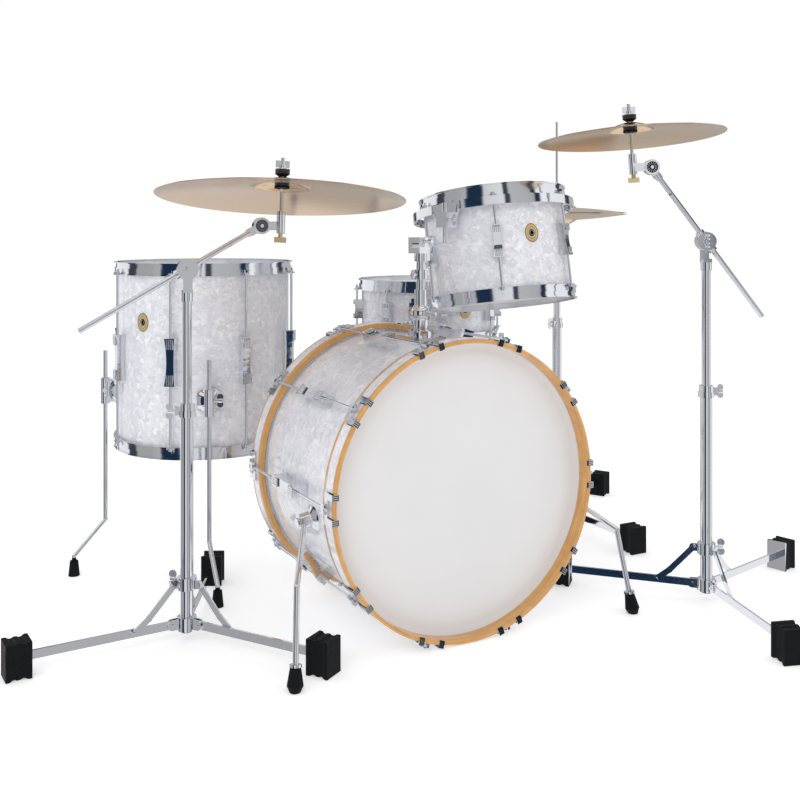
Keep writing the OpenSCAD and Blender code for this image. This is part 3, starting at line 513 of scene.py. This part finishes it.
def bass_gaskets_and_gap_shade():
    """Satin grey ring capping the gap where each hoop laps the shell, painted shade for that
    crease, and on each claw its pads, stripes and slots.
    """
    bm = bmesh.new()
    first, step, count = 108, 36, 10
    for side in (1, -1):
        # painted shade: a satin grey ring caps the open gap where the hoop laps the shell
        turn_profile(bm, [(a, side * b) for a, b in (
            (279.6, 166.2), (279.6, 164.4), (282.6, 164.2), (284.8, 164.6), (285.2, 166.2))],
            [1, 1, 1, 1], 160)

        def on_claw(low, high, turn, bevel):
            """Block between two (radius, across, along) corners, along counted outwards."""
            ends = sorted((side * low[2], side * high[2]))
            block(bm, (low[0], low[1], ends[0]), (high[0], high[1], ends[1]), turn, bevel)

        for i in range(count):
            turn = turned((0, 0, 0), ("Z", first + step * i))
            for y in (-23, 23):
                on_claw((286.2, y - 5.4, 211.4), (289.0, y + 5.4, 214.4), turn, 0.6)
                for bar in (-3.6, 0.0, 3.6):
                    on_claw((288.4, y + bar - 0.75, 214.6), (299.6, y + bar + 0.75, 215.15), turn,
                            0.15)
                on_claw((294.9, y - 7.0, 196), (297.5, y + 7.0, 211.6), turn, 0.3)
    mesh = finish_mesh(bm, "bass_gaskets_and_gap_shade")
    piece("bass_gaskets_and_gap_shade", mesh, "kit", [RUBBER, SATIN], BASS["place"])


# ---------- cymbals ----------

TIP_UP, TIP_OUT = 98, 40  # a cymbal's hole from the end of its arm, in mm
KNOB_DOWN = TIP_UP + 15.5  # top of a tilter's brass knob below its cymbal's hole, in mm

# plan angle and rise of each boom's arm, and how its cymbal's post leans
BOOMS = {"ride": {"rise": 30, "lean": (-11, -6.2, 3.2)},
         "crash": {"rise": 53.7, "lean": (149.2, 3.1, 3.5)}}


def bow(r, bell, edge, rise, drop):
    """Height of a cymbal's surface at radius r, from its hole, in mm."""
    if r < bell:
        return -rise * (r / bell) ** 2
    return -rise - drop * ((r - bell) / (edge - bell)) ** 1.35


def cymbal(name, node_name, body, diameter, bell, rise, drop, lean=(0, 0, 0), flip=False):
    """A turned cymbal that stands for its CAD node: domed bell, crisp bell line, thin edge.

    Returns the frame at its hole.
    """
    edge = diameter / 2
    lo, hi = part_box(node_name)
    axis = turned((0, 0, 0), *leaning(lean)) @ Vector((0, 0, 1))
    tilt = math.acos(axis.z)
    if flip:
        hole = Vector(((lo.x + hi.x) / 2, (lo.y + hi.y) / 2, lo.z))
    else:
        rim = Vector(((lo.x + hi.x) / 2, (lo.y + hi.y) / 2, lo.z + edge * MM * math.sin(tilt)))
        hole = rim + axis * (rise + drop) * MM
    radii = [6.6, 9, 14, 20, 28, 36, 44] + [r for r in (50, 54, 58) if r < bell - 1]
    radii += [bell - 0.6, bell + 0.6] + [bell + (edge - bell) * i / 26 for i in range(1, 26)]
    radii += [edge - 1.2, edge - 0.2]
    radii = sorted(set(radii))
    top = [(r, bow(r, bell, edge, rise, drop) + 1.15) for r in radii]
    under = [(r, bow(r, bell, edge, rise, drop) + 0.05) for r in reversed(radii)]
    tip = [(edge, bow(edge, bell, edge, rise, drop) + 0.6)]
    if flip:
        top, under, tip = ([(r, -z + 1.2) for r, z in part] for part in (top, under, tip))
    bm = bmesh.new()
    turn_profile(bm, top + tip + under, None, 160, closed=True)
    place = turned(hole, *leaning(lean))
    piece(name, finish_mesh(bm, name, 50), body, [BRONZE], place, [node_name])
    return place


def cymbals():
    """The four cymbals, as {short name: frame at the hole}."""
    ride, crash = BOOMS["ride"]["lean"], BOOMS["crash"]["lean"]
    return {
        "ride": cymbal("ride_turned", "ride_cymbal", "ride_cymbal", 508, 62, 19, 24, ride),
        "crash": cymbal("crash_turned", "crash_cymbal", "crash_cymbal", 406, 52, 16, 19, crash),
        "hat": cymbal("hihat_top_turned", "hihat_top_cymbal", "hihat_pull_rod", 381, 56, 20, 14),
        "seat": cymbal("hihat_bottom_turned", "hihat_bottom_cymbal", "hihat_seat", 381, 56, 20, 14,
                       (0, 0, 0), True)}


def boom_end(key, hole):
    """Frame at the end of a boom's arm, X along the arm's plan direction."""
    axis = hole.to_3x3() @ Vector((0, 0, 1))
    turn = ("Z", BOOMS[key]["lean"][0])
    out = turned((0, 0, 0), turn) @ Vector((1, 0, 0))
    return turned(hole.translation - axis * TIP_UP * MM - out * TIP_OUT * MM, turn)


def knuckle_plate(bm, place, y, sign):
    """Bolt head, dark toothed recess and bright rim on one face of a knuckle."""
    profile = [(0, 1.5), (3.4, 1.5), (4.0, 1.0), (4.2, 0.35), (5.4, 0.3), (12.2, 0.3),
               (12.6, 0.9), (15.4, 0.9), (16.2, 0.2), (16.2, -0.3)]
    teeth = 14
    face = place @ turned((0, y * MM, 0), ("X", 90 * sign))
    turn_profile(bm, profile, [0, 0, 0, 1, 1, 2, 0, 0, 0], 48, face)
    for i in range(teeth):
        spoke = face @ turned((0, 0, 0), ("Z", i * 360 / teeth))
        block(bm, (6.2, -0.5, 0.0), (11.8, 0.5, 0.8), spoke, 0.15, 0)


def boom_trims(key, hole):
    """The arm's joint lines, and the faces of the knuckle at its end."""
    end = boom_end(key, hole)
    arm = end @ turned((0, 0, 0), ("Y", -BOOMS[key]["rise"]), ("Y", -90))
    bm = bmesh.new()
    for out in (72, 205):  # they slide through the tilter's bore, of radius 5.56
        turn_profile(bm, [(5.0, out - 1.4), (5.54, out - 1.3), (5.54, out + 1.3),
                          (5.0, out + 1.4)], [1, 1, 1], 32, arm)
    knuckle_plate(bm, end, -12, 1)
    name = f"{key}_boom_trims"
    piece(name, finish_mesh(bm, name), f"{key}_boom_arm", [CHROME, RUBBER, SATIN])
    bm = bmesh.new()
    knuckle_plate(bm, end, 11, -1)
    name = f"{key}_tilter_trims"
    piece(name, finish_mesh(bm, name), f"{key}_tilter", [CHROME, RUBBER, SATIN])


def cymbal_sleeve(name, body, hole, low, high):
    """Black sleeve under a cymbal's bell, with a flange, and the top felt's washer."""
    bm = bmesh.new()
    turn_profile(bm, [(4.3, low), (15.2, low), (15.6, low + 0.6), (15.6, low + 4.2),
                      (15.0, low + 4.8), (10.4, low + 5.4), (10.0, low + 6.0),
                      (10.0, high - 0.6), (9.4, high), (4.3, high)], [0] * 9, 48, hole)
    turn_profile(bm, [(7.0, 17.0), (15.4, 17.0), (15.8, 17.4), (15.8, 18.2), (15.2, 18.7),
                      (7.0, 18.7)], [1] * 5, 48, hole)
    piece(name, finish_mesh(bm, name), body, [RUBBER, CHROME])


# ---------- CAD nodes: materials and painted areas ----------

def dress(name, material):
    """Gives a CAD node a material."""
    mesh = NODES[name].data
    mesh.materials.clear()
    mesh.materials.append(material)


def paint(name, test, material):
    """Faces of a CAD node whose middle passes the test take another material."""
    mesh = NODES[name].data
    mesh.materials.append(material)
    index = len(mesh.materials) - 1
    for face in mesh.polygons:
        if test(face.center):
            face.material_index = index


def dress_all():
    """Every CAD node's main material."""
    for name in NODES:
        if name.endswith("_shell"):
            dress(name, PEARL)
        elif name.endswith("_heads"):
            dress(name, HEAD)
        elif name.endswith("_cymbal"):
            dress(name, BRONZE)
        elif name == "bass_hoops":
            dress(name, MAPLE)
        elif name == "tripod_feet":
            dress(name, RUBBER)
        elif name == "snare_wires":
            dress(name, WIRE)
        else:
            dress(name, CHROME)


# the crash stand's feet, out from its axis, and the bare leg strip inside them, in metres
FOOT_FROM, STRIP_TO = 0.2972, 0.311
STRIP_LOW, STRIP_HIGH = 0.0255, 0.0425
FLOOR_TIP, SPUR_TIP = 0.0345, 0.0420  # tops of the rubber tips on the floor tom's legs and spurs


def paint_feet():
    """Rubber on the crash stand's feet, the floor tom's legs and the spurs."""
    axis = middle("crash_collar")

    def on_foot(c):
        out = math.hypot(c.x - axis.x, c.y - axis.y)
        return out > FOOT_FROM and (not STRIP_LOW <= c.z <= STRIP_HIGH or out > STRIP_TO)

    for i in (1, 2, 3):
        paint(f"crash_leg_{i}", on_foot, RUBBER)
        paint(f"floor_leg_{i}", lambda c: c.z < FLOOR_TIP, RUBBER)
    for side in ("left", "right"):
        paint(f"{side}_spur", lambda c: c.z < SPUR_TIP, RUBBER)


def paint_tilters(places):
    """Felts, sleeve and the brassy knob on the two cymbal tilters and the hi-hat's clutch."""
    for name, key in (("ride_tilter", "ride"), ("crash_tilter", "crash")):
        back = places[key].inverted()

        def local(c, back=back):
            return (back @ c) / MM

        paint(name, lambda c: -16.1 < local(c).z < -7.9 and local(c).xy.length > 8
              or 7.9 < local(c).z < 17.1, FELT)
        paint(name, lambda c: -8.1 < local(c).z < 8.1 and local(c).xy.length > 4.5, RUBBER)
        paint(name, lambda c: local(c).z < -KNOB_DOWN, BRASS)
    hat = places["hat"].inverted()
    paint("hihat_rod", lambda c: 3.9 < (hat @ c).z / MM < 13.1 and (hat @ c).xy.length / MM > 9.5
          or -14.1 < (hat @ c).z / MM < -7.9 and (hat @ c).xy.length / MM > 6, FELT)


# ---------- studio ----------

def studio():
    """White surroundings; mirrored rays see soft boxes between dark gaps instead."""
    scene = bpy.context.scene
    scene.view_settings.view_transform = "Standard"
    scene.view_settings.look = "None"
    world = bpy.data.worlds.new("studio")
    scene.world = world
    world.use_nodes = True
    tree = world.node_tree
    tree.nodes.clear()
    way = node(tree, "ShaderNodeTexCoord").outputs["Generated"]
    x, y, z = node(tree, "ShaderNodeSeparateXYZ", Vector=way).outputs
    around = math_node(tree, "ARCTAN2", y, x)
    turn = math_node(tree, "MULTIPLY_ADD", around, 0.5 / math.pi, 0.5)
    night, shade = (0.012, 0.030, 0.065), (0.05, 0.06, 0.08)
    bands = ramp(tree, turn, (0.0, 0.42), (0.04, 0.50), (0.048, night), (0.112, night),
                 (0.122, 0.72), (0.20, 0.85), (0.207, shade), (0.222, shade), (0.23, 0.55),
                 (0.325, 0.48), (0.335, night), (0.352, night), (0.362, 1.0), (0.50, 0.95),
                 (0.508, shade), (0.54, shade), (0.55, 0.52), (0.72, 0.45), (0.73, night),
                 (0.752, night), (0.77, 1.0), (0.885, 0.92), (0.893, shade), (0.93, shade),
                 (0.94, 0.42))
    height = math_node(tree, "MULTIPLY_ADD", z, 0.5, 0.5)
    level = ramp(tree, height, (0.23, 0.0), (0.27, 1.0), (0.68, 1.0), (0.72, 0.0))
    above = ramp(tree, height, (0.0, 0.92), (0.18, 0.97), (0.24, 0.90), (0.70, shade),
                 (0.745, shade), (0.76, 0.82), (0.88, 0.90), (0.888, shade), (0.908, shade),
                 (0.916, 1.0), (1.0, 1.0))
    colour = mix(tree, level, above, bands)
    mirrored = node(tree, "ShaderNodeBackground", Color=colour, Strength=1.0)
    soft = node(tree, "ShaderNodeBackground", Color=(0.97, 0.98, 1.0, 1), Strength=0.80)
    white = node(tree, "ShaderNodeBackground", Color=(1, 1, 1, 1), Strength=1.02)
    path = node(tree, "ShaderNodeLightPath")
    shaded = node(tree, "ShaderNodeMixShader", i0=path.outputs["Is Glossy Ray"],
                  i1=soft.outputs[0], i2=mirrored.outputs[0])
    both = node(tree, "ShaderNodeMixShader", i0=path.outputs["Is Camera Ray"],
                i1=shaded.outputs[0], i2=white.outputs[0])
    node(tree, "ShaderNodeOutputWorld", Surface=both.outputs[0])


def lamp(name, at, towards, size, power):
    data = bpy.data.lights.new(name, "AREA")
    data.shape = "RECTANGLE"
    data.size, data.size_y = size
    data.energy = power
    made = bpy.data.objects.new(name, data)
    bpy.context.scene.collection.objects.link(made)
    made.location = at
    made.rotation_euler = (Vector(towards) - Vector(at)).to_track_quat("-Z", "Y").to_euler()
    made.visible_glossy = False


def lights():
    lamp("key", (-2.6, -2.6, 2.9), (0, 0, 0.5), (2.2, 1.6), 30)
    lamp("fill", (2.9, -2.2, 2.0), (0, 0, 0.5), (1.6, 2.2), 10)
    lamp("top", (0.2, 0.4, 3.6), (0, 0, 0.5), (3.0, 3.0), 22)


def floor():
    """Plain pale floor, just under the feet."""
    bm = bmesh.new()
    bmesh.ops.create_circle(bm, cap_ends=True, radius=40, segments=64)
    made = bpy.data.objects.new("studio_floor", finish_mesh(bm, "studio_floor"))
    bpy.context.scene.collection.objects.link(made)
    made.location = (0, 0, -0.0005)
    made.visible_glossy = False
    material, _, _ = shader("floor", (0.86, 0.86, 0.86), 0.0, 0.8, Specular_IOR_Level=0.1,
                            Emission_Color=(1, 1, 1, 1), Emission_Strength=0.35)
    made.data.materials.append(material)


def camera():
    """The photograph's view, from a fit."""
    data = bpy.data.cameras.new("camera")
    data.lens = 45.63
    data.sensor_width = 36
    data.shift_y = -0.21425
    made = bpy.data.objects.new("camera", data)
    bpy.context.scene.collection.objects.link(made)
    made.location = (-1.1401, -1.9994, 0.8105)
    made.rotation_euler = (math.radians(90), 0, math.radians(-28.4))
    bpy.context.scene.camera = made


dress_all()
bass_hoops()
bass_collars()
bass_gaskets_and_gap_shade()
small_lug, bass_lug = 23, 32  # how far a lug's face stands off its shell, in mm
for drum_name, drum in (("floor_tom", FLOOR), ("tom", TOM), ("snare", SNARE)):
    badge(f"{drum_name}_badge", drum)
    grommet(f"{drum_name}_grommet", drum, *drum["badge"])
    lug_ribs(f"{drum_name}_lug_ribs", drum, drum["lugs"], small_lug)
    collar_ring(f"{drum_name}_collars", drum)
grommet("bass_grommet", BASS, 54, 0)
lug_ribs("bass_lug_ribs", BASS, (10, 108, 108.0), bass_lug)
cymbal_places = cymbals()
for key in ("ride", "crash"):
    boom_trims(key, cymbal_places[key])
    cymbal_sleeve(f"{key}_sleeve", f"{key}_tilter", cymbal_places[key], -21.0, -6.5)
paint_feet()
paint_tilters(cymbal_places)
studio()
lights()
floor()
camera()
